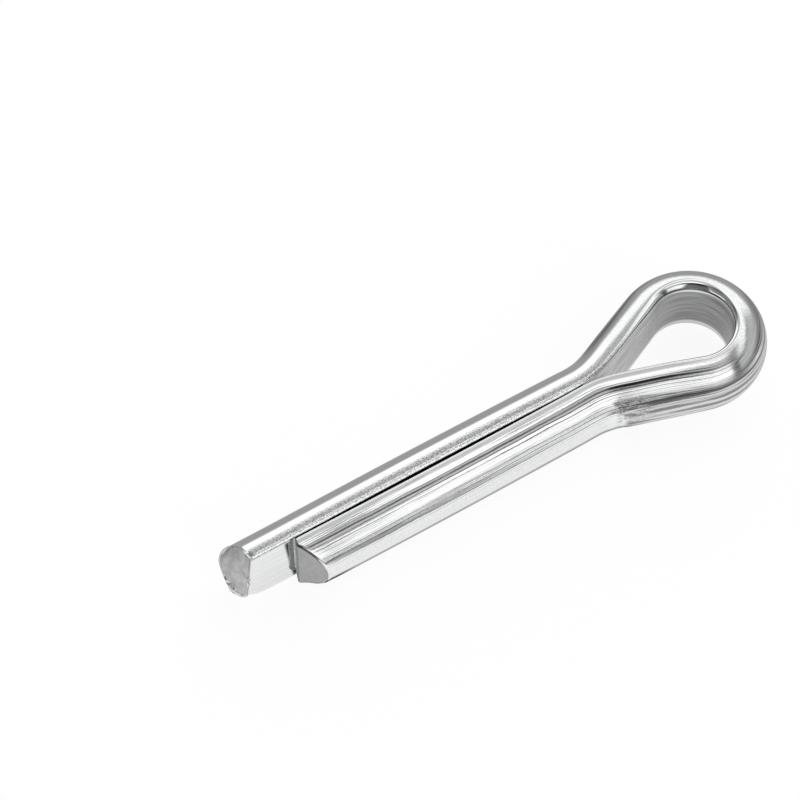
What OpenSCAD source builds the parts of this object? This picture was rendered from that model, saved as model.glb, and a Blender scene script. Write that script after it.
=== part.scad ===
// Split cotter pin: one half-round wire folded back on itself, with an eye at the fold and
// two legs that lie flat face to flat face and make a round shank together.
// The shank's axis is X, with the tips towards -X and the neck at the origin. The eye lies flat
// in the XY plane and Z is up. The long leg is on the +Y side.

/* [Wire] */
// Diameter of the round shank that the two legs make
shank_d = 7.4; // [6.4:0.1:9]
// Gap between the flat faces of the legs
leg_gap = 0.24; // [0.1:0.02:0.6]
// Width of the break along both corners of the wire's flat face
corner_break = 0.25; // [0.1:0.05:0.5]
// How much the wire draws in all round where it is bent
bend_thin = 0.05; // [0.04:0.01:0.12]

/* [Legs] */
// Length of the long leg along its flat face, from the neck to the middle of its cut end
long_leg = 37.2; // [28:0.2:71]
// How much shorter the other leg is
leg_step = 5.2; // [2:0.1:10]

/* [Cut ends] */
// Angle of the long leg's shear cut, which leaves its round side longer
long_cut = 17; // [0:1:25]
// Lean of that cut, which leaves its lower edge longer
long_lean = 7; // [0:1:12]
// Angle of the short leg's shear cut, which leaves its flat side longer
short_cut = 18; // [0:1:25]
// Radius of the edge that the shear rolled over on top of the short leg's nose
roll_r = 1.6; // [0.6:0.1:2.4]

/* [Eye] */
// Inside radius of the eye
eye_r = 4; // [3:0.1:6]
// Distance from the neck to the centre of the eye
eye_reach = 13; // [11:0.2:20]
// Sideways shift of the eye's centre towards the long leg
eye_shift = 0.42; // [0:0.02:1]
// Radius of the two neck bends along the wire's flat face
neck_r = 10.9; // [6:0.1:14]

/* [Hidden] */
$fn = 96;

steel = [0.78, 0.79, 0.8];

shank_r = shank_d / 2;
flat_y = leg_gap / 2;
short_leg = long_leg - leg_step;

// Angle by which each bend runs on inside the straight wire at its ends
lap = 1;

// How far the rolled edge overhangs the cut end, so that it meets the end at an edge
roll_over = 0.08 * roll_r;

// Size of a block that holds everything on one side of a cut
block = 3 * (long_leg + eye_reach);

// The functions below take the eye's centre as seen from one leg, at y towards that leg's side.
// The neck bend stays under the radius at which it would run straight into the eye.
function neck_limit(y) =
    (pow(eye_reach, 2) + pow(y - flat_y, 2) - pow(eye_r, 2)) / (2 * (eye_r + y - flat_y));
function bend_r(y) = min(neck_r, 0.95 * neck_limit(y));
// Angle of the straight run between neck and eye
function bend_a(y) =
    let (drop = y - flat_y - bend_r(y), between = norm([eye_reach, drop]))
    atan2(drop, eye_reach) + asin((bend_r(y) + eye_r) / between);
// How far the eye end of that run stands off the leg's flat face
function run_rise(y) = y + eye_r * cos(bend_a(y)) - flat_y;
// From either end of the bend to the point where its two straights would cross
function set_back(y) = bend_r(y) * tan(bend_a(y) / 2);
function run_l(y) = run_rise(y) / sin(bend_a(y)) - set_back(y);

// Half-round section with its flat face at flat_y from the axis of the round, drawn in by thin
module wire_section(thin = 0) {
    r = shank_r - thin;
    near = flat_y + thin;
    flat_z = sqrt(pow(r, 2) - pow(near, 2)) - corner_break;
    intersection() {
        circle(r);
        polygon([
            [near, -flat_z], [near + r, -flat_z - r], [near + r, flat_z + r], [near, flat_z]
        ]);
    }
}

// Straight wire that ends at X = 0
module wire_run(length) {
    translate([-length, 0, 0]) rotate([90, 0, 90]) linear_extrude(length) wire_section();
}

// Bent wire round Z, from one angle to the other and a little into the wire at both ends,
// with its flat face at radius r and facing the centre, or away from it
module wire_bend(r, from, to, facing = true) {
    rotate_extrude(angle = to - from + 2 * lap, start = from - lap)
        translate([facing ? r - flat_y : r + flat_y, 0])
            mirror([facing ? 0 : 1, 0]) wire_section(bend_thin);
}

// What a shear takes off a tip: all that is beyond the cut, and the lower corner that it rolled over
module shear_cut(roll) {
    translate([-block, -block / 2, -block / 2]) cube(block);
    if (roll > 0)
        rotate([90, 0, 0]) linear_extrude(block, center = true)
            difference() {
                translate([-shank_r, -shank_d + roll]) square([shank_r + roll, shank_r]);
                translate([roll - roll_over, roll - shank_r]) circle(roll);
            }
}

// A leg that ends at X = 0, with its tip cut at an angle and a lean
module leg(length, cut, lean, roll) {
    spare = shank_r * (tan(abs(cut)) + tan(lean)) + roll;
    difference() {
        wire_run(length + spare);
        translate([-length, flat_y, 0]) rotate([0, lean, cut]) shear_cut(roll);
    }
}

// The wire from one leg's tip to the eye, with the eye's centre at the origin
module arm(y, length, cut, lean, roll = 0) {
    a = bend_a(y);
    rotate([0, 0, a]) {
        translate([0, eye_r - flat_y, 0]) wire_run(run_l(y));
        translate([-run_l(y), eye_r + bend_r(y), 0]) {
            wire_bend(bend_r(y), -90 - a, -90, false);
            rotate([0, 0, -a]) translate([0, -bend_r(y) - flat_y, 0]) leg(length, cut, lean, roll);
        }
    }
}

module cotter_pin() {
    color(steel) translate([eye_reach, eye_shift, 0]) {
        wire_bend(eye_r, -90 - bend_a(-eye_shift), 90 + bend_a(eye_shift));
        arm(eye_shift, long_leg, long_cut, long_lean);
        rotate([180, 0, 0]) arm(-eye_shift, short_leg, -short_cut, 0, roll_r);
    }
}

cotter_pin();
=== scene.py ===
"""Cotter pin: one bright drawn half-round steel wire, folded into an eye with two legs laid flat to flat."""
import math

import bpy
import numpy as np
from mathutils import Matrix, Vector


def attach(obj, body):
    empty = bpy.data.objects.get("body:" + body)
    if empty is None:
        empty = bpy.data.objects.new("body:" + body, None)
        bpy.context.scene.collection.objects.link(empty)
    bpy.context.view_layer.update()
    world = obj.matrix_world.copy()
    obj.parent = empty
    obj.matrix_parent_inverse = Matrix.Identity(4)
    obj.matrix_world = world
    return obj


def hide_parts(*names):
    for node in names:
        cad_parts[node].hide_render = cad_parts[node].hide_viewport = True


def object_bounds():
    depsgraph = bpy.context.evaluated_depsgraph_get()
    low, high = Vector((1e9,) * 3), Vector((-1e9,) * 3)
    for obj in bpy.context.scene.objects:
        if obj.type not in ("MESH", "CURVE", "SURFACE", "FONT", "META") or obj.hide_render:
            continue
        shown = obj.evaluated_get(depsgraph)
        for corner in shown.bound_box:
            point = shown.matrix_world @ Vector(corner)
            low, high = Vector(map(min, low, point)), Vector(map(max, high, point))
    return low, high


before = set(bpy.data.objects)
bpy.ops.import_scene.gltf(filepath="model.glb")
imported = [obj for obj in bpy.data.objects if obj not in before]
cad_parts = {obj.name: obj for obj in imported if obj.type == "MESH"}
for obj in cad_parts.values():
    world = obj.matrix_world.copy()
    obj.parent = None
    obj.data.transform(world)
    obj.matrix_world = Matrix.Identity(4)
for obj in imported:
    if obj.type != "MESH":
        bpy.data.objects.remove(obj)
cad_box = [list(corner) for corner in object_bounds()]

# Sizes in millimetres, as in the CAD model
MM = 0.001
SHANK_R = 3.7
FLAT_Y = 0.12
CORNER_R = 0.34
BEND_THIN = 0.05
LONG_LEG = 37.2
SHORT_LEG = 32.0
EYE_R = 4.0
EYE_X, EYE_Y = 13.0, 0.42
NECK_R = 10.9
WIRE_DEPTH = SHANK_R - FLAT_Y

# Small shapes that the CAD model leaves out: the legs' bow, the split line's shift towards the tips,
# the eye's rounder corners, and what the shear rolled, pressed and flared at the tips
LEG_BOW, LEG_CLOSE, NECK_CLOSE = 0.09, 0.07, 0.02
BOW_LENGTH = 33.0
SPLIT_SHIFT = 0.165
EYE_ROUND, EYE_TOP_ROUND = 0.22, 0.32
LONG_ROLL, SHORT_ROLL = 0.62, 0.5
LONG_ROLL_LENGTH, SHORT_ROLL_LENGTH = 1.8, 1.3
LONG_PRESS, SHORT_PRESS = 0.30, 0.38
PRESS_LENGTH = 2.6
FLARE_TOP, FLARE_LOW = 0.24, 0.26
FLARE_LENGTH = 0.42
SHORT_RIM, SHORT_RIM_LENGTH = 0.10, 0.22
CUT_REACH = 3.5

# The long leg's cut, as slopes with depth, height and both
LONG_TURN, LONG_LEAN, LONG_TWIST, LONG_OUT = -0.252, 0.109, 0.04, 0.12

# The short leg's cut stands out furthest a little inside the flat face, and falls back on both sides
NOSE_DEPTH = 0.82
NOSE_OUT = 0.45
NOSE_SLOPE_FLAT_SIDE = 0.3
NOSE_SLOPE_ROUND_SIDE = 0.66
NOSE_EASE = (-0.16, -0.08, 0.0, 0.08, 0.16)

# Places along the wire, from the long leg's tip
EYE_MIDDLE = 58.5
WIRE_END = 109.08

# Points round the section, and rings on each end face
LOW_POINTS, HIGH_POINTS, CORNER_POINTS, FLAT_POINTS = 60, 150, 13, 20
ROUND_POINTS = LOW_POINTS + HIGH_POINTS
CAP_RINGS = 20
LONG_END, SHORT_END = 1, 2
INWARD = np.array([1.0, 0.3, 0.0])

# Lines that the drawing die left along the short leg: place round the section from the middle of the
# round side, half width and darkness
LINES_LOW = [(1.30, 0.05, 0.35), (1.56, 0.06, 0.7), (1.80, 0.045, 0.35), (2.03, 0.08, 1.0),
             (2.24, 0.045, 0.45), (2.42, 0.07, 0.85), (2.70, 0.045, 0.3)]
LINES_HIGH = [(3.10, 0.06, 0.55), (3.27, 0.05, 0.5), (3.42, 0.08, 0.95), (3.60, 0.05, 0.4),
              (3.80, 0.1, 1.0), (4.13, 0.16, 1.0), (4.40, 0.09, 0.55), (4.62, 0.06, 0.3)]
LINES_FROM, LINES_SPAN = 1.0, 4.0

# Brightness of the light tent by the angle from straight up, in degrees towards the short leg's side
TENT = [(-180, 0.45), (-88, 0.45), (-83, 1.15), (-60, 1.15), (-56, 0.43), (-38, 0.5), (-34, 1.1),
        (-20, 1.05), (-15, 0.52), (0, 0.56), (4, 1.2), (14, 1.2), (17, 0.52), (36, 0.52), (40, 1.25),
        (71, 1.25), (77, 0.92), (91, 0.9), (96, 1.05), (180, 1.05)]
# and on its right-hand wall by height, from the floor up to straight overhead, in front and behind
WALL = [(0.0, 0.48), (0.5, 0.5), (0.545, 0.22), (0.585, 0.22), (0.63, 1.1), (0.85, 1.1), (1.0, 0.9)]
WALL_BEHIND = [(0.0, 0.4), (0.06, 0.45), (0.16, 1.1), (0.85, 1.1), (1.0, 0.9)]
TENT_TOP = 1.25

# The floor's glow in front and behind as the steel mirrors it, its paper, and both as the camera sees it
GLOW_FRONT, GLOW_BEHIND = 0.78, 0.2
PAPER = 0.26
SHOWN_PAPER, SHOWN_GLOW = 0.17, 0.905
FLOOR_SIZE = 1.5
FLOOR_DROP = 0.00002

# Camera from the photograph, in degrees, metres and millimetres of lens
CAM_AZ, CAM_EL = -31.697, 57.581
CAM_DIST = 0.2960
CAM_LENS, CAM_SENSOR = 137.88, 36.0
CAM_TARGET = (-0.014727, 0.009463, 0.0)


def smooth(a, b, x):
    """0 on a's side, 1 on b's side, and smooth between."""
    t = np.clip((np.asarray(x, float) - a) / (b - a), 0.0, 1.0)
    return t * t * (3.0 - 2.0 * t)


def span(x, start, full, fade, end):
    """1 from full to fade, 0 before start and after end."""
    return smooth(start, full, x) * (1 - smooth(fade, end, x))


def bump(centre, width, x):
    """A bell of height 1."""
    return np.exp(-((np.asarray(x, float) - centre) / width) ** 2)


def lattice(seed, *index):
    """Repeatable values from -1 to 1 for whole-number coordinates."""
    h = np.full(np.broadcast(*index).shape, seed * 374761393 + 668265263, np.uint64)
    for k, i in enumerate(index):
        h = (h ^ (np.asarray(i).astype(np.int64).astype(np.uint64) * np.uint64(2654435761 + 40503 * k)))
        h = (h * np.uint64(1274126177)) & np.uint64(0xFFFFFFFF)
        h = h ^ (h >> np.uint64(15))
    return (h & np.uint64(0xFFFF)).astype(float) / 32767.5 - 1.0


def noise2(seed, x, y):
    """Smooth value noise on a plane."""
    x, y = np.broadcast_arrays(np.asarray(x, float), np.asarray(y, float))
    x0, y0 = np.floor(x), np.floor(y)
    fx, fy = x - x0, y - y0
    fx, fy = fx * fx * (3 - 2 * fx), fy * fy * (3 - 2 * fy)
    x0, y0 = x0 + 4096, y0 + 4096
    a = lattice(seed, x0, y0) * (1 - fx) + lattice(seed, x0 + 1, y0) * fx
    b = lattice(seed, x0, y0 + 1) * (1 - fx) + lattice(seed, x0 + 1, y0 + 1) * fx
    return a * (1 - fy) + b * fy


def neck_angle(side):
    """Angle of the straight run between neck and eye on one side (1 for the long leg's)."""
    drop = side * EYE_Y - FLAT_Y - NECK_R
    return math.atan2(drop, EYE_X) + math.asin((NECK_R + EYE_R) / math.hypot(EYE_X, drop))


def stations():
    """The flat face's path in plan, from the long leg's tip to the short leg's: rows of
    x, y, normal x, normal y towards the round side, and how much the wire is bent there."""
    a1, a2 = neck_angle(1), neck_angle(-1)

    def leg(length, side):
        near_tip = 5.0 * np.linspace(0.0, 1.0, 40) ** 1.3
        middle = np.linspace(5.0, length - 3.0, int((length - 8.0) / 1.3))[1:]
        near_neck = np.linspace(length - 3.0, length, 10)[1:]
        rows = np.concatenate([near_tip, middle, near_neck])
        return [(-length + t, side * FLAT_Y, 0.0, float(side), 0.0) for t in rows]

    def neck(side, a):
        cy = side * (FLAT_Y + NECK_R)
        turns = [(math.sin(t), side * math.cos(t)) for t in np.linspace(0, a, 34)[1:]]
        return [(NECK_R * sin, cy - NECK_R * cos, -sin, cos, 1.0) for sin, cos in turns]

    def run(side, a):
        ex, ey = EYE_X - EYE_R * math.sin(a), EYE_Y + side * EYE_R * math.cos(a)
        sx, sy = NECK_R * math.sin(a), side * (FLAT_Y + NECK_R * (1 - math.cos(a)))
        return [(sx + (ex - sx) * t, sy + (ey - sy) * t, -math.sin(a), side * math.cos(a), 0.0)
                for t in np.linspace(0, 1, 15)[1:] ** 1.4]

    long_arm = leg(LONG_LEG, 1) + neck(1, a1) + run(1, a1)
    short_arm = leg(SHORT_LEG, -1) + neck(-1, a2) + run(-1, a2)
    ring = [(EYE_X + EYE_R * math.cos(t), EYE_Y + EYE_R * math.sin(t), math.cos(t), math.sin(t), 1.0)
            for t in np.linspace(math.pi / 2 + a1, -math.pi / 2 - a2, 72)[1:-1]]
    rows = np.array(long_arm + ring + short_arm[::-1])
    return rows, len(long_arm) + len(ring) // 2


def along(path):
    """Distance along a path from its first row."""
    return np.concatenate([[0.0], np.cumsum(np.hypot(*np.diff(path[:, :2], axis=0).T))])


def section(top_r, low_r):
    """Half-round section with rounded corners: rows of depth from the flat, z, and their normal."""
    centre = -FLAT_Y
    ends = []
    for r in (top_r, low_r):
        zc = math.sqrt((SHANK_R - r) ** 2 - (r - centre) ** 2)
        ends.append((zc, math.atan2(zc, r - centre)))
    (z1, a1), (z2, a2) = ends
    # the upper side holds the fine drawing lines and has more points
    low_turns = np.linspace(-a2, -0.15, LOW_POINTS + 1)[:-1]
    a = np.concatenate([low_turns, np.linspace(-0.15, a1, HIGH_POINTS)])
    round_side = np.stack([centre + SHANK_R * np.cos(a), SHANK_R * np.sin(a), np.cos(a), np.sin(a)], -1)
    a = np.linspace(a1, math.pi, CORNER_POINTS + 1)[1:]
    top = np.stack([top_r + top_r * np.cos(a), z1 + top_r * np.sin(a), np.cos(a), np.sin(a)], -1)
    z = np.linspace(z1, -z2, FLAT_POINTS + 2)[1:-1]
    flat = np.stack([0 * z, z, 0 * z - 1, 0 * z], -1)
    a = np.linspace(math.pi, 2 * math.pi - a2, CORNER_POINTS + 1)[:-1]
    low = np.stack([low_r + low_r * np.cos(a), -z2 + low_r * np.sin(a), np.cos(a), np.sin(a)], -1)
    return np.concatenate([round_side, top, flat, low])


def round_the_section():
    """Distance round the plain section from the middle of the round side, upwards."""
    sec = section(CORNER_R, CORNER_R)
    c = along(sec)
    return c - np.interp(0.0, sec[:ROUND_POINTS, 1], c[:ROUND_POINTS])


def long_cut(d, z):
    """How far the long leg's cut end stands off a square cut, at a depth from the flat face and a height."""
    return LONG_TURN * d + LONG_LEAN * z + LONG_TWIST * d * z - LONG_OUT


def short_cut(d):
    """How far the short leg's cut end stands off a square cut, at a depth from the flat face."""
    away = [d + step - NOSE_DEPTH for step in NOSE_EASE]
    fall = [np.maximum(NOSE_SLOPE_ROUND_SIDE * a, -NOSE_SLOPE_FLAT_SIDE * a) for a in away]
    return sum(fall) / len(NOSE_EASE) - NOSE_OUT


def leg_bow(x):
    """How far each leg stands off its place in the CAD model, away from the other leg."""
    share = np.clip(-np.asarray(x) / BOW_LENGTH, 0, 1)
    on_leg = LEG_BOW * np.sin(np.pi * share) - LEG_CLOSE - NECK_CLOSE * (1 - share) ** 2
    return np.where(np.asarray(x) < 0, on_leg, -(LEG_CLOSE + NECK_CLOSE) * (1 - smooth(0.0, 4.0, x)))


def short_end_depth(y):
    """Depth from the flat face of a point at the short leg's tip."""
    flat_at = FLAT_Y + SPLIT_SHIFT + leg_bow(-SHORT_LEG)
    return -(y + flat_at) / (1 - SPLIT_SHIFT / WIRE_DEPTH)


def streaks(S, C, is_long):
    """Height of the drawing lines on the wire, in millimetres."""
    h = 0.0022 * noise2(11, C / 0.17, S / 45.0) + 0.002 * noise2(12, C / 0.33, S / 30.0)
    h = np.where(is_long, 0.2 * h, h)
    return np.where(np.abs(C) < 5.2, h, 0.3 * h)


def die_mark(S, C):
    """The rough press mark of the bending tool on the outside of the short leg's neck: height and area."""
    patches = noise2(63, S / 0.8, C / 0.22) + 0.6 * noise2(64, S / 0.3, C / 0.12)
    area = span(S, 70.2, 71.8, 74.2, 75.0) * span(C, -0.5, 0.3, 2.3, 3.3) * smooth(-0.45, 0.25, patches)
    rough = area * (0.010 * noise2(61, S / 0.30, C / 0.22) + 0.008 * noise2(62, S / 0.6, C / 0.16))
    step = -0.09 * span(S, 73.0, 73.3, 73.9, 75.3) * span(C, -3.0, -1.5, 0.9, 1.5)
    notch = -0.16 * bump(73.15, 0.13, S) * span(C, -0.8, 0.0, 1.0, 1.4)
    return rough + step + notch, area


def ease(path):
    """The path with the sudden starts and ends of the neck bends eased."""
    overrun, step, half = 3.0, 0.05, 36
    s = along(path)
    fine = np.arange(-overrun, s[-1] + overrun, step)
    places = np.concatenate([[-overrun], s, [s[-1] + overrun]])
    window = np.hanning(2 * half + 1) / np.hanning(2 * half + 1).sum()
    share = 1 - smooth(7.0, 9.0, path[:, 0])
    out = path.copy()
    for col in range(4):
        # both legs run on towards -X
        ends = path[[0, -1], col] - (overrun if col == 0 else 0.0)
        line = np.interp(fine, places, np.concatenate([ends[:1], path[:, col], ends[1:]]))
        padded = np.pad(line, half, mode="reflect", reflect_type="odd")
        soft = np.interp(s, fine, np.convolve(padded, window, mode="valid"))
        out[:, col] += share * (soft - path[:, col])
    out[:, 2:4] /= np.hypot(out[:, 2], out[:, 3])[:, None]
    return out


def build_wire():
    """The wire's points by station and side, and their places along the wire and round the section."""
    path, middle = stations()
    path = ease(path)
    c = round_the_section()
    count, sides = len(path), len(c)
    s = along(path)
    fine = np.arange(0.0, s[-1], 0.05)
    soft = np.hanning(101) / np.hanning(101).sum()
    bent = np.interp(s, fine, np.convolve(np.interp(fine, s, path[:, 4]), soft, mode="same"))
    is_long = np.arange(count) < middle
    leg_length = np.where(is_long, LONG_LEG, SHORT_LEG)
    from_tip = np.where(path[:, 0] < 0, path[:, 0] + leg_length, 99.0)

    # the shear rounds the lower corner of the flat face at each tip
    roll = np.where(is_long, LONG_ROLL, SHORT_ROLL)
    roll_length = np.where(is_long, LONG_ROLL_LENGTH, SHORT_ROLL_LENGTH)
    low_r = CORNER_R + roll * (1 - smooth(0.0, roll_length, from_tip)) ** 1.5
    eye_round = EYE_ROUND * span(s, 43.0, 48.0, 64.0, 70.0) + EYE_TOP_ROUND * bump(54.5, 5.0, s)
    sec = np.stack([section(CORNER_R + e, r + e) for e, r in zip(eye_round, low_r)])

    S = np.repeat(s[:, None], sides, 1)
    C = np.repeat(c[None, :], count, 0)
    long_rows, tip = is_long[:, None], from_tip[:, None]
    mark, _ = die_mark(S, C)
    lift = mark - BEND_THIN * bent[:, None] + streaks(S, C, long_rows) * smooth(0.0, 1.4, tip)
    # it flares the rim of the long leg's end and draws in the short one's
    turn = np.degrees(np.arctan2(sec[:, :, 1], sec[:, :, 0] + FLAT_Y))
    flare = FLARE_TOP * bump(62.0, 24.0, turn) + FLARE_LOW * bump(-62.0, 26.0, turn)
    flare = flare * (1 - smooth(0.0, FLARE_LENGTH, tip))
    lift = lift + np.where(long_rows, flare, -SHORT_RIM * (1 - smooth(0.0, SHORT_RIM_LENGTH, tip)))
    D = sec[:, :, 0] + sec[:, :, 2] * lift
    Z = sec[:, :, 1] + sec[:, :, 3] * lift
    # and it presses the underside up: the flat's edge on the long leg, the round side on the short one
    near_flat = 1 - smooth(0.6, 1.8, D)
    press = np.where(long_rows, LONG_PRESS * near_flat, SHORT_PRESS * (1 - near_flat))
    Z = Z + press * (1 - smooth(0.0, PRESS_LENGTH, tip)) * smooth(1.2, 3.4, -Z)
    X = path[:, None, 0] + path[:, None, 2] * D
    Y = path[:, None, 1] + path[:, None, 3] * D

    # the legs stand a little further apart half-way along than at the tip and the neck
    Y += (leg_bow(path[:, 0]) * np.where(is_long, 1, -1))[:, None]
    Y -= SPLIT_SHIFT * (1 - smooth(-3.0, 4.0, path[:, 0]))[:, None] * (1 - D / WIRE_DEPTH)

    # the last rings swing from square into the plane of the cut
    X += (1 - smooth(0.0, CUT_REACH, tip)) * np.where(long_rows, long_cut(D, Z), short_cut(D))
    return np.stack([X, Y, Z], -1), S, C


def cap_rows(rim, end):
    """Rings of an end face from its rim to its middle: a lip, then a slightly hollow, torn face.
    Gives their points, how much of a lip they are, how much painted shade they carry, and the middle point."""
    middle = rim.mean(0)
    reach = np.linalg.norm(rim - middle, axis=1, keepdims=True)
    turn = np.degrees(np.arctan2(rim[:, 2:3], np.abs(rim[:, 1:2])))
    # the burr on the long leg's end is widest underneath and thin along the flat
    burr = float(end == LONG_END)
    wide = 0.12 + burr * (0.24 * bump(40.0, 46.0, turn) + 0.62 * bump(-62.0, 24.0, turn))
    deep = 0.06 + burr * (0.12 * bump(50.0, 34.0, turn) + 0.34 * bump(-62.0, 24.0, turn))
    wide = wide * (1 + 0.35 * noise2(81 + end, turn / 14.0, 0.0 * turn))
    rows, lips, painted_shades = [], [], []
    for k in range(1, CAP_RINGS):
        t = (k / CAP_RINGS) ** 1.8
        pts = rim * (1 - t) + middle * t
        y, z = pts[:, 1:2], pts[:, 2:3]
        depth = short_end_depth(y)
        if end == SHORT_END:
            pts[:, :1] += smooth(0.0, 0.03, t) * (short_cut(depth) - SHORT_LEG - pts[:, :1])
        edge = reach * t
        lip = 1 - smooth(0.15, 1.0, edge / wide)
        level = smooth(0.5, 1.3, edge)
        sink = (deep * (1 - level) + deep.mean() * level) * (1 - lip) + 0.03 * smooth(0.1, 1.5, edge)
        crumbs = smooth(0.0, 0.08, edge) * smooth(1.6, 0.9, edge / wide)
        sink = sink + 0.22 * deep * noise2(71 + end, turn / 5.0, edge / 0.16) * crumbs
        torn = noise2(73 + end, y / 0.3, z / 0.9) + noise2(75 + end, y / 0.6, z / 0.5)
        sink = sink + 0.006 * torn * smooth(0.05, 0.4, edge) * smooth(0.95, 0.7, t)
        rows.append(pts + INWARD * sink)
        lips.append(lip[:, 0])
        # painted shade lines the rim and the burr, and darkens the short leg's blunt nose so that the long
        # leg's flat mirrors it dark
        line = 0.85 * burr * bump(1.0, 0.3, edge / wide) * smooth(-15.0, 10.0, turn)
        line = np.clip(line + 1 - smooth(0.04, 0.11, edge), 0.0, 1.0)
        line = line * (0.6 + 0.4 * noise2(91 + end, turn / 8.0, 0.0 * turn))
        blunt = 0.85 * (1 - burr) * span(depth, 0.12, 0.22, 0.74, 0.9)
        painted_shades.append(np.maximum(line, blunt)[:, 0])
    if end == SHORT_END:
        middle[0] = short_cut(short_end_depth(middle[1])) - SHORT_LEG
    return rows, lips, painted_shades, middle + INWARD * (deep.mean() + 0.03)


def make_mesh():
    """Points in millimetres, their place (along, round, and which end face), painted shade on the end faces,
    faces.
    """
    verts, S, C = build_wire()
    count, sides = verts.shape[:2]
    co, outline = [verts.reshape(-1, 3)], [np.zeros(count * sides)]
    wire = [np.stack([S, C, 0 * S], -1).reshape(-1, 3)]
    i, j = np.meshgrid(np.arange(count - 1), np.arange(sides), indexing="ij")
    k = (j + 1) % sides
    corners = [i * sides + j, (i + 1) * sides + j, (i + 1) * sides + k, i * sides + k]
    quads = [np.stack(corners, -1).reshape(-1, 4)]
    nxt = np.roll(np.arange(sides), -1)
    base = count * sides
    for row, end in ((0, LONG_END), (count - 1, SHORT_END)):
        rows, lips, painted_shades, middle = cap_rows(verts[row], end)
        last = np.arange(sides) + row * sides
        for pts, lip, painted_shade_and_marks in zip(rows, lips, painted_shades):
            now = base + np.arange(sides)
            co.append(pts)
            outline.append(painted_shade_and_marks)
            wire.append(np.stack([S[row], C[row], end - 0.999 * lip], -1))
            q = np.stack([last, last[nxt], now[nxt], now], -1)
            quads.append(q if end == LONG_END else q[:, ::-1])
            last = now
            base += sides
        co.append(middle[None])
        outline.append(np.zeros(1))
        wire.append(np.array([[S[row, 0], 0.0, end]]))
        tri = np.stack([last, last[nxt], np.full(sides, base), np.full(sides, base)], -1)
        quads.append(tri if end == LONG_END else tri[:, [1, 0, 2, 3]])
        base += 1
    low, high = (np.array(corner) / MM for corner in cad_box)
    co = np.clip(np.concatenate(co), low + 0.01, high - 0.01)
    return co, np.concatenate(wire), np.concatenate(outline), quads


def bent_areas(s, c):
    """Where bending left the wire satin: the near arm, the far side and the eye's inner wall, and how
    much further up the satin reaches at the eye's right-hand side."""
    mark_edge = 73.35 + 0.7 * np.maximum(c - 0.4, 0.0)
    near_reach = 0.9 * (1 - smooth(59.0, 63.0, s))
    near_arm = smooth(57.0, 60.0, s) * (1 - smooth(-0.15, 0.25, s - mark_edge))
    near_arm = near_arm * (1 - smooth(2.4, 3.1, c - near_reach))
    reach = 0.8 * span(s, 55.5, 58.0, 62.0, 65.0)
    far_side = span(s, 38.0, 43.5, 58.0, 61.0) * (1 - smooth(2.8, 3.4, c - reach))
    bright_edge = 0.14 * bump(52.0, 2.2, s)
    inside = smooth(5.8, 5.95, c - bright_edge) * (1 - smooth(11.9, 12.2, c))
    inside = inside * span(s, 37.0, 40.0, 73.0, 76.0)
    return near_arm, far_side, inside, reach


def shade_and_marks(s, c, near_arm, far_side, inside):
    """How much the wire is darkened: painted shade round the rims at both tips and on the eye's inner wall,
    darker lines and patches at the long tip, the neck and the short leg's nose, and duller bends.
    """
    # painted shade round the rim at each tip
    rim = 0.85 * (1 - smooth(0.03, 0.13, np.where(s > EYE_MIDDLE, WIRE_END - s, s)))
    # darker along the bare end of the flat face and in its corner at the tip
    edge = 0.75 * bump(5.8, 0.07, c) * (s < 7.0) * (0.65 + 0.35 * noise2(95, s / 0.35, 0.0 * s))
    corner = 0.9 * span(c, 4.85, 5.0, 5.4, 5.55) * smooth(0.1, 0.25, s)
    corner = corner * (1 - smooth(0.5, 1.2, s + 0.8 * (5.5 - c)))
    # darker in a nick from the bending tool across the neck, and in a crinkle at the short leg's nose
    nick = 0.85 * bump(73.3, 0.09, s) * span(c, -0.9, -0.5, 0.6, 0.9)
    nose = 0.85 * span(c, 4.35, 4.5, 5.0, 5.1)
    nose = nose * (1 - smooth(0.25, 0.5, s.max() - s + 0.5 * np.abs(c - 4.6)))
    # painted shade darkens the eye's inner wall, most at its right-hand side, and the wall's upper corner at
    # the left
    wall = 0.46 + 0.2 * smooth(53.5, 57.0, s) * (1 - smooth(6.1, 7.4, c))
    wall = wall * inside * span(s, 48.0, 53.0, 62.0, 66.0)
    wall = wall + 0.45 * bump(50.8, 1.3, s) * span(c, 5.45, 5.6, 5.85, 5.95)
    return np.maximum.reduce([rim, edge, corner, nick, nose, wall, 0.3 * far_side, 0.16 * near_arm])


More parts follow.
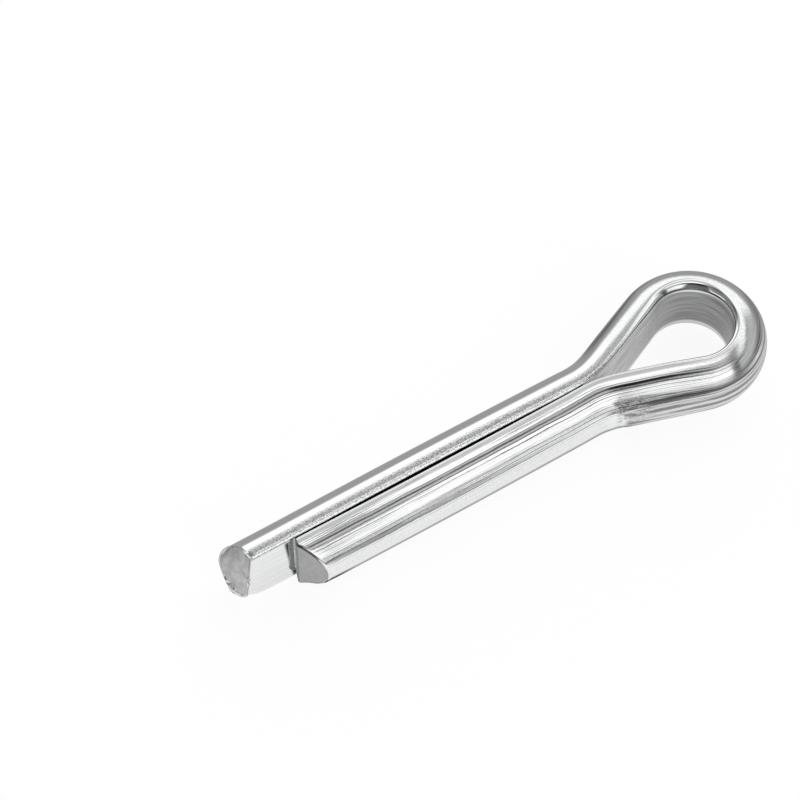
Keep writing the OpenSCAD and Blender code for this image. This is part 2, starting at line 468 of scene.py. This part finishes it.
def masks(wire, outline):
    """Where the wire is satin from bending, lined from drawing or grained, and what is a sheared face."""
    s, c, cap = wire.T
    body = cap == 0
    near_arm, far_side, inside, reach = bent_areas(s, c)
    on_leg = smooth(73.5, 76.5, s) * smooth(0.0, 2.0, WIRE_END - s)
    far_lines = 0.12 + 0.3 * smooth(39.0, 42.0, s) * (1 - smooth(3.0, 3.6, c))
    eye_lines = 0.85 * span(s, 52.0, 56.0, 64.0, 67.0) * (1 - smooth(3.8, 4.2, c))
    lined = np.maximum(np.where(s > EYE_MIDDLE, 0.3, far_lines), eye_lines)
    lined = (lined + (1 - lined) * on_leg) * (1 - smooth(5.0, 5.4, c)) * (1 - inside)
    lined = lined * np.where(s > 74.0, 0.25 + 0.75 * smooth(1.1, 1.7, c), 1.0)
    grain = 0.3 * span(c, -0.5, 0.0, 1.2, 1.5) + 0.5 * span(c, 2.0, 2.1, 2.38, 2.48)
    grain = grain * smooth(75.0, 77.0, s) + span(c, 4.3, 4.8, 5.7, 5.9) * span(s, 0.1, 0.6, 40.0, 48.0)
    areas = {
        "satin": np.maximum.reduce([near_arm, far_side, inside]),
        "inside": inside,
        "grain": grain,
        "lined": lined,
        "die": die_mark(s, c)[1],
        "eyed": span(s, 39.0, 44.0, 65.0, 71.0) * smooth(2.8, 3.4, c - reach) * (1 - smooth(5.35, 5.5, c)),
        "drawn": smooth(60.0, 67.0, s) * smooth(0.1, 0.7, WIRE_END - s),
        "bare": span(c, 5.88, 5.95, 11.9, 12.0) * (s < 8.0),
        # painted shade at the tips' rims and in the eye, with darker marks and duller bends
        "painted_shade_and_marks": shade_and_marks(s, c, near_arm, far_side, inside),
    }
    areas = {name: body * area for name, area in areas.items()}
    # and the painted shade on the end faces
    areas["painted_shade_and_marks"] = np.maximum(areas["painted_shade_and_marks"], outline)
    areas["sheared"] = np.where(cap > 1, cap - 1, cap) * ~body
    areas["short_end"] = 1.0 * (cap > 1)
    return areas


def new_object(name, co, faces):
    mesh = bpy.data.meshes.new(name)
    polys = [q[:3] if q[2] == q[3] else q for block in faces for q in block.tolist()]
    mesh.from_pydata((co * MM).tolist(), [], polys)
    mesh.update()
    obj = bpy.data.objects.new(name, mesh)
    bpy.context.scene.collection.objects.link(obj)
    return obj


class Nodes:
    """Short ways to add and join shader nodes."""

    def __init__(self, tree):
        self.tree = tree

    def add(self, kind, **values):
        n = self.tree.nodes.new(kind)
        for key, value in values.items():
            setattr(n, key, value)
        return n

    def put(self, socket, value):
        if isinstance(value, bpy.types.NodeSocket):
            self.tree.links.new(value, socket)
        else:
            socket.default_value = value

    def math(self, op, a, b=0.0):
        n = self.add("ShaderNodeMath", operation=op)
        self.put(n.inputs[0], a)
        self.put(n.inputs[1], b)
        return n.outputs[0]

    def times(self, first, *others):
        for other in others:
            first = self.math("MULTIPLY", first, other)
        return first

    def less(self, value, share, amount=1.0):
        """value, down by an amount of itself where share is 1."""
        return self.times(value, self.math("SUBTRACT", 1.0, self.times(share, amount)))

    def step(self, a, b, x, low=0.0, high=1.0):
        """low where x is on a's side, high where it is on b's side."""
        n = self.add("ShaderNodeMapRange", interpolation_type="SMOOTHSTEP")
        for key, value in (("Value", x), ("From Min", a), ("From Max", b), ("To Min", low), ("To Max", high)):
            self.put(n.inputs[key], value)
        return n.outputs["Result"]

    def mix(self, share, a, b):
        n = self.add("ShaderNodeMix", data_type="FLOAT")
        self.put(n.inputs[0], share)
        self.put(n.inputs[2], a)
        self.put(n.inputs[3], b)
        return n.outputs[0]

    def attribute(self, name, output="Fac"):
        return self.add("ShaderNodeAttribute", attribute_name=name).outputs[output]

    def split(self, vector):
        n = self.add("ShaderNodeSeparateXYZ")
        self.put(n.inputs[0], vector)
        return n.outputs

    def noise(self, vector, scale, detail=2.0, rough=0.5):
        """Noise on a coordinate that is first stretched by scale."""
        n = self.add("ShaderNodeVectorMath", operation="MULTIPLY")
        self.put(n.inputs[0], vector)
        n.inputs[1].default_value = scale
        t = self.add("ShaderNodeTexNoise")
        t.inputs["Scale"].default_value = 1.0
        t.inputs["Detail"].default_value = detail
        t.inputs["Roughness"].default_value = rough
        self.put(t.inputs["Vector"], n.outputs[0])
        return t.outputs["Fac"]

    def swing(self, vector, scale, detail, amount):
        """Noise about zero, of an amount."""
        return self.times(self.math("SUBTRACT", self.noise(vector, scale, detail), 0.5), amount)

    def ramp(self, x, stops):
        """A value by x from 0 to 1, in grey."""
        n = self.add("ShaderNodeValToRGB")
        elements = n.color_ramp.elements
        while len(elements) > 1:
            elements.remove(elements[-1])
        for k, (at, value) in enumerate(stops):
            e = elements[0] if k == 0 else elements.new(at)
            e.position = at
            e.color = (value, value, value, 1)
        self.put(n.inputs["Fac"], x)
        return n.outputs["Color"]

    def bump(self, height, strength, distance, normal=None):
        n = self.add("ShaderNodeBump")
        n.inputs["Strength"].default_value = strength
        n.inputs["Distance"].default_value = distance
        self.put(n.inputs["Height"], height)
        if normal is not None:
            self.put(n.inputs["Normal"], normal)
        return n.outputs["Normal"]

    def from_camera(self, x, y):
        """Plan coordinates turned to the camera's azimuth: towards its side, and how far across by that."""
        a = math.radians(CAM_AZ)
        front = self.math("ADD", self.times(x, math.sin(a)), self.times(y, -math.cos(a)))
        across = self.math("ADD", self.times(x, math.cos(a)), self.times(y, math.sin(a)))
        return front, self.math("DIVIDE", across, front)

    def shader(self, kind, **inputs):
        n = self.add(kind)
        for key, value in inputs.items():
            self.put(n.inputs[key], value)
        return n.outputs[0]

    def sum(self, a, b):
        n = self.add("ShaderNodeAddShader")
        self.put(n.inputs[0], a)
        self.put(n.inputs[1], b)
        return n.outputs[0]


def line_stops(lines):
    """Ramp stops for dark lines."""
    stops = [(LINES_FROM, 0.0)]
    for at, half, dark in lines:
        stops += [(at - half, 0.0), (at, dark), (at + half, 0.0)]
    return [((at - LINES_FROM) / LINES_SPAN, dark) for at, dark in stops]


def steel_material():
    mat = bpy.data.materials.new("bright_steel")
    mat.use_nodes = True
    k = Nodes(mat.node_tree)
    shader = mat.node_tree.nodes["Principled BSDF"]
    shader.inputs["Metallic"].default_value = 1.0
    wire = k.attribute("wire", "Vector")
    place = k.add("ShaderNodeTexCoord").outputs["Object"]
    satin, inside, eyed = k.attribute("satin"), k.attribute("inside"), k.attribute("eyed")
    grain, die, lined = k.attribute("grain"), k.attribute("die"), k.attribute("lined")
    sheared, short_end = k.attribute("sheared"), k.attribute("short_end")

    # the lines waver a little
    shift = k.add("ShaderNodeCombineXYZ")
    waver = k.swing(wire, (0.22, 0.8, 1.0), 3.0, 0.2)
    jitter = k.swing(wire, (2.6, 3.5, 1.0), 2.0, 0.09)
    k.put(shift.inputs["Y"], k.math("ADD", waver, jitter))
    wavy = k.add("ShaderNodeVectorMath", operation="ADD")
    k.put(wavy.inputs[0], wire)
    k.put(wavy.inputs[1], shift.outputs[0])
    wavy = wavy.outputs[0]
    fine = k.noise(wavy, (0.05, 7.5, 1.0), 3.0, 0.6)
    broad = k.noise(wavy, (0.1, 1.9, 1.0), 3.0)
    arcs = k.noise(wire, (0.22, 4.0, 1.0), 4.0, 0.6)
    torn_lines = k.noise(wire, (3.2, 6.0, 1.0), 3.0, 0.6)
    speck = k.noise(place, (6500.0, 6500.0, 6500.0), 1.0, 0.6)
    cloud = k.noise(place, (1500.0, 1500.0, 1500.0), 3.0)

    # the die's lines come and go along the wire
    around = k.math("DIVIDE", k.math("SUBTRACT", k.split(wavy)["Y"], LINES_FROM), LINES_SPAN)
    lines = k.math("MAXIMUM", k.ramp(around, line_stops(LINES_LOW)), k.ramp(around, line_stops(LINES_HIGH)))
    fading = k.step(0.3, 0.56, k.noise(wire, (0.13, 2.4, 1.0)), 0.75, 1.0)
    lines = k.times(lines, fading, k.attribute("drawn"))

    # colour: drawn lines hold a little dirt, bends are duller, sheared faces are plain grey
    value = k.mix(lined, 0.93, k.step(0.37, 0.5, fine, 0.5, 0.95))
    value = k.mix(k.attribute("bare"), value, k.step(0.4, 0.6, fine, 0.84, 0.97))
    value = k.mix(grain, value, k.step(0.38, 0.56, speck, 0.58, 0.93))
    value = k.mix(eyed, value, k.step(0.36, 0.6, speck, 0.78, 0.92))
    dull = k.times(k.step(0.44, 0.54, broad, 0.42, 1.08), k.step(0.4, 0.5, fine, 0.55, 1.0), 0.8)
    value = k.mix(satin, value, dull)
    value = k.mix(inside, value, k.times(k.step(0.36, 0.64, arcs, 0.66, 1.0), 0.68))
    value = k.mix(die, value, k.step(0.38, 0.6, torn_lines, 0.42, 0.86))
    face = k.mix(short_end, k.step(0.35, 0.65, cloud, 0.56, 0.7), k.step(0.35, 0.65, cloud, 0.37, 0.41))
    value = k.mix(sheared, value, face)
    # painted shade at the rims, on the short end and in the eye, and darker marks, darken the colour
    value = k.less(value, k.attribute("painted_shade_and_marks"), 0.78)
    value = k.less(value, lines, 0.95)
    colour = k.add("ShaderNodeCombineColor")
    for channel, tint in (("Red", 0.995), ("Green", 1.0), ("Blue", 1.005)):
        k.put(colour.inputs[channel], k.times(value, tint))
    k.put(shader.inputs["Base Color"], colour.outputs["Color"])

    rough = k.step(0.35, 0.65, fine, 0.06, 0.1)
    rough = k.mix(grain, rough, 0.13)
    rough = k.mix(eyed, rough, 0.17)
    rough = k.mix(satin, rough, k.step(0.3, 0.7, broad, 0.24, 0.13))
    rough = k.mix(inside, rough, k.step(0.3, 0.7, arcs, 0.34, 0.2))
    rough = k.mix(die, rough, 0.26)
    rough = k.mix(sheared, rough, k.mix(short_end, 0.4, 0.27))
    k.put(shader.inputs["Roughness"], rough)

    normal = k.bump(k.times(k.step(0.3, 0.5, fine), lined), 0.8, 0.000009)
    normal = k.bump(k.times(speck, grain), 0.8, 0.000016, normal)
    normal = k.bump(k.times(torn_lines, die), 0.7, 0.00004, normal)
    normal = k.bump(k.times(cloud, sheared), 0.5, 0.00004, normal)
    k.put(shader.inputs["Normal"], normal)
    return mat


def floor_material():
    """Pale paper, in metres, that shows white to the camera and an uneven glow to the steel."""
    mat = bpy.data.materials.new("pale_floor")
    mat.use_nodes = True
    tree = mat.node_tree
    tree.nodes.clear()
    k = Nodes(tree)
    x, y, _ = k.split(k.add("ShaderNodeTexCoord").outputs["Object"])
    # the sweep of paper is darker behind the part and at its sides, where the lamps don't reach
    right = k.times(k.math("MAXIMUM", k.math("SUBTRACT", x, 0.014), 0.0), 0.5)
    left = k.times(k.math("MAXIMUM", k.math("SUBTRACT", -0.042, x), 0.0), 0.5)
    glow = k.step(-0.004, 0.012, k.math("ADD", k.math("ADD", y, right), left), GLOW_FRONT, GLOW_BEHIND)
    # and a painted shadow darkens the glow right beneath the legs, most of all behind the short leg's nose
    nose = k.math("ADD", x, k.times(y, 0.286))
    deepest = k.step(-0.0006, 0.0, y, 0.96, 0.6)
    painted_shadow = k.times(k.step(0.0034, 0.0047, k.math("ABSOLUTE", y), 1.0, 0.0),
                    k.step(-0.0326, -0.0323, nose),
                    k.step(0.003, 0.007, x, 1.0, 0.0),
                    k.step(-0.029, -0.0265, x, deepest, 0.6))
    glow = k.less(glow, painted_shadow)
    # and whoever holds the camera shades the far floor
    front, across = k.from_camera(k.math("SUBTRACT", x, EYE_X * MM), y)
    shade = k.times(k.step(0.02, 0.04, front), k.step(0.35, 0.55, k.math("ABSOLUTE", across), 1.0, 0.0))
    glow = k.less(glow, shade, 0.85)
    # the paper carries the painted shadow beneath the legs as well
    seen = k.sum(k.shader("ShaderNodeBsdfDiffuse", Color=k.less(PAPER, painted_shadow)),
                 k.shader("ShaderNodeEmission", Strength=glow))
    shown = k.sum(k.shader("ShaderNodeBsdfDiffuse", Color=(SHOWN_PAPER, SHOWN_PAPER, SHOWN_PAPER, 1)),
                  k.shader("ShaderNodeEmission", Strength=SHOWN_GLOW))
    pick = k.add("ShaderNodeMixShader")
    k.put(pick.inputs[0], k.add("ShaderNodeLightPath").outputs["Is Camera Ray"])
    k.put(pick.inputs[1], seen)
    k.put(pick.inputs[2], shown)
    k.put(k.add("ShaderNodeOutputMaterial").inputs["Surface"], pick.outputs[0])
    return mat


def make_world():
    """A light tent with brighter and darker panels, which the bright steel mirrors."""
    world = bpy.data.worlds.new("light_tent")
    bpy.context.scene.world = world
    world.use_nodes = True
    k = Nodes(world.node_tree)
    back = world.node_tree.nodes["Background"]
    x, y, z = k.split(k.add("ShaderNodeTexCoord").outputs["Generated"])
    angle = k.math("ARCTAN2", k.times(y, -1.0), z)
    turn = k.math("ADD", k.math("DIVIDE", angle, 2 * math.pi), 0.5)
    value = k.ramp(turn, [((a + 180) / 360, v / TENT_TOP) for a, v in TENT])
    # the slot for the lens is darkest in front of it
    slot = k.times(k.step(0.31, 0.35, angle), k.step(0.48, 0.53, angle, 1.0, 0.0))
    value = k.less(value, slot, k.step(0.1, 0.2, x, 0.92, 0.0))
    wall, behind = (k.ramp(z, [(a, v / TENT_TOP) for a, v in stops]) for stops in (WALL, WALL_BEHIND))
    value = k.mix(k.step(0.42, 0.58, x), value, k.mix(k.step(0.12, 0.34, y), wall, behind))
    # the left-hand wall is plain, and dark towards the back
    value = k.mix(k.step(-0.45, -0.65, x), value, k.step(0.02, 0.2, z, 0.42, 0.88))
    height = k.math("ADD", z, k.step(0.25, 0.4, y, 0.0, 0.2))
    left = k.times(k.step(-0.1, -0.35, x), k.step(-0.4, -0.15, y), k.step(0.14, 0.4, height))
    value = k.less(value, left, 0.8)
    # a dark edge parts the right-hand wall from the front
    edge = k.times(k.step(0.42, 0.5, x), k.step(0.58, 0.66, x, 1.0, 0.0), k.step(0.05, -0.1, y))
    value = k.less(value, edge, 0.75)
    # the camera and whoever holds it are dark
    front, across = k.from_camera(x, y)
    off_middle = k.math("ABSOLUTE", k.math("ADD", across, 0.17))
    figure = k.times(k.step(0.46, 0.8, off_middle, 1.0, 0.0), k.step(0.2, 0.32, front))
    value = k.less(value, figure, 0.88)
    k.put(back.inputs["Color"], value)
    back.inputs["Strength"].default_value = TENT_TOP


def make_camera():
    a, e = math.radians(CAM_AZ), math.radians(CAM_EL)
    back = Vector((math.sin(a) * math.cos(e), -math.cos(a) * math.cos(e), math.sin(e)))
    right = Vector((math.cos(a), math.sin(a), 0))
    up = back.cross(right)
    data = bpy.data.cameras.new("camera")
    data.sensor_width = CAM_SENSOR
    data.sensor_fit = "HORIZONTAL"
    data.lens = CAM_LENS
    data.clip_start = 0.01
    cam = bpy.data.objects.new("camera", data)
    bpy.context.scene.collection.objects.link(cam)
    place = Matrix((right, up, back)).transposed().to_4x4()
    place.translation = Vector(CAM_TARGET) + back * CAM_DIST
    cam.matrix_world = place
    bpy.context.scene.camera = cam


def make_floor():
    mesh = bpy.data.meshes.new("floor")
    corners = [(x * FLOOR_SIZE, y * FLOOR_SIZE, 0) for x, y in ((-1, -1), (1, -1), (1, 1), (-1, 1))]
    mesh.from_pydata(corners, [], [(0, 1, 2, 3)])
    obj = bpy.data.objects.new("floor", mesh)
    obj.location = (0, 0, cad_box[0][2] - FLOOR_DROP)
    bpy.context.scene.collection.objects.link(obj)
    mesh.materials.append(floor_material())


co, wire, outline, faces = make_mesh()
pin = new_object("pin_wire", co, faces)
places = pin.data.attributes.new("wire", "FLOAT_VECTOR", "POINT")
places.data.foreach_set("vector", wire.astype(np.float32).ravel())
for name, values in masks(wire, outline).items():
    area = pin.data.attributes.new(name, "FLOAT", "POINT")
    area.data.foreach_set("value", values.astype(np.float32))
for polygon in pin.data.polygons:
    polygon.use_smooth = True
pin.data.set_sharp_from_angle(angle=math.radians(50))
pin.data.materials.append(steel_material())
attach(pin, "root")
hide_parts("cotter_pin")

make_floor()
make_world()
make_camera()
bpy.context.scene.view_settings.view_transform = "Standard"
